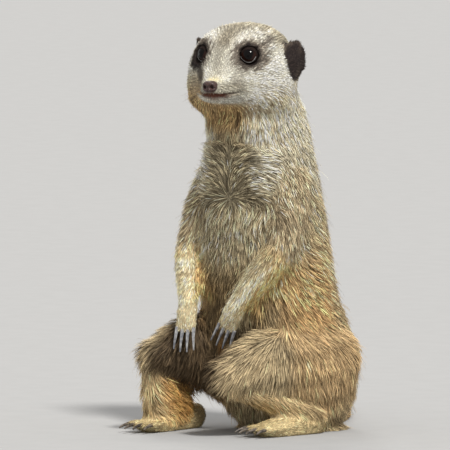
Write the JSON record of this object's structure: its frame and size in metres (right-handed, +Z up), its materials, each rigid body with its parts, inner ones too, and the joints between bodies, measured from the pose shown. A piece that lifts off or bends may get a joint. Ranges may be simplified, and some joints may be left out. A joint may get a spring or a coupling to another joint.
{
  "type": "meerkat, life-size still model",
  "caption": "Life-size meerkat sitting upright on its rump, hands hanging before its belly, head turned to its left, tail laid on the floor behind.",
  "frame": {"origin": "middle of the flat under the rump, on the floor", "axes": "+Z up, -Y the way the chest faces, +X towards the animal's left"},
  "size_m": [0.1806, 0.2502, 0.2472],
  "materials": {
    "body_fur": "matt grizzled tan and grey fur",
    "face_fur": "matt pale grey fur with dark eye patches",
    "pale_fur": "matt cream fur",
    "foot_fur": "matt grey-olive short fur",
    "tail_fur": "matt tan fur",
    "tail_tip_fur": "matt black-brown fur",
    "ear_fur": "matt black-brown short fur",
    "eye": "wet gloss",
    "nose_skin": "moist satin",
    "claw_horn": "satin horn"
  },
  "bodies": {
    "root": {"rump": "body_fur", "chest": "body_fur", "neck": "body_fur", "upper_arm_left": "body_fur", "upper_arm_right": "body_fur", "thigh_left": "body_fur", "thigh_right": "body_fur", "shin_left": "body_fur", "shin_right": "body_fur", "head": "face_fur", "forearm_left": "pale_fur", "forearm_right": "pale_fur", "hand_left": "pale_fur", "hand_right": "pale_fur", "foot_left": "foot_fur", "foot_right": "foot_fur", "tail_root": "tail_fur", "tail_middle": "tail_fur", "tail_tip": "tail_tip_fur", "ear_left": "ear_fur", "ear_right": "ear_fur", "eye_left": "eye", "eye_right": "eye", "nose": "nose_skin", "claw_hand_left_1": "claw_horn", "claw_hand_left_2": "claw_horn", "claw_hand_left_3": "claw_horn", "claw_hand_left_4": "claw_horn", "claw_hand_right_1": "claw_horn", "claw_hand_right_2": "claw_horn", "claw_hand_right_3": "claw_horn", "claw_hand_right_4": "claw_horn", "claw_foot_left_1": "claw_horn", "claw_foot_left_2": "claw_horn", "claw_foot_left_3": "claw_horn", "claw_foot_left_4": "claw_horn", "claw_foot_right_1": "claw_horn", "claw_foot_right_2": "claw_horn", "claw_foot_right_3": "claw_horn", "claw_foot_right_4": "claw_horn"}
  },
  "joints": []
}
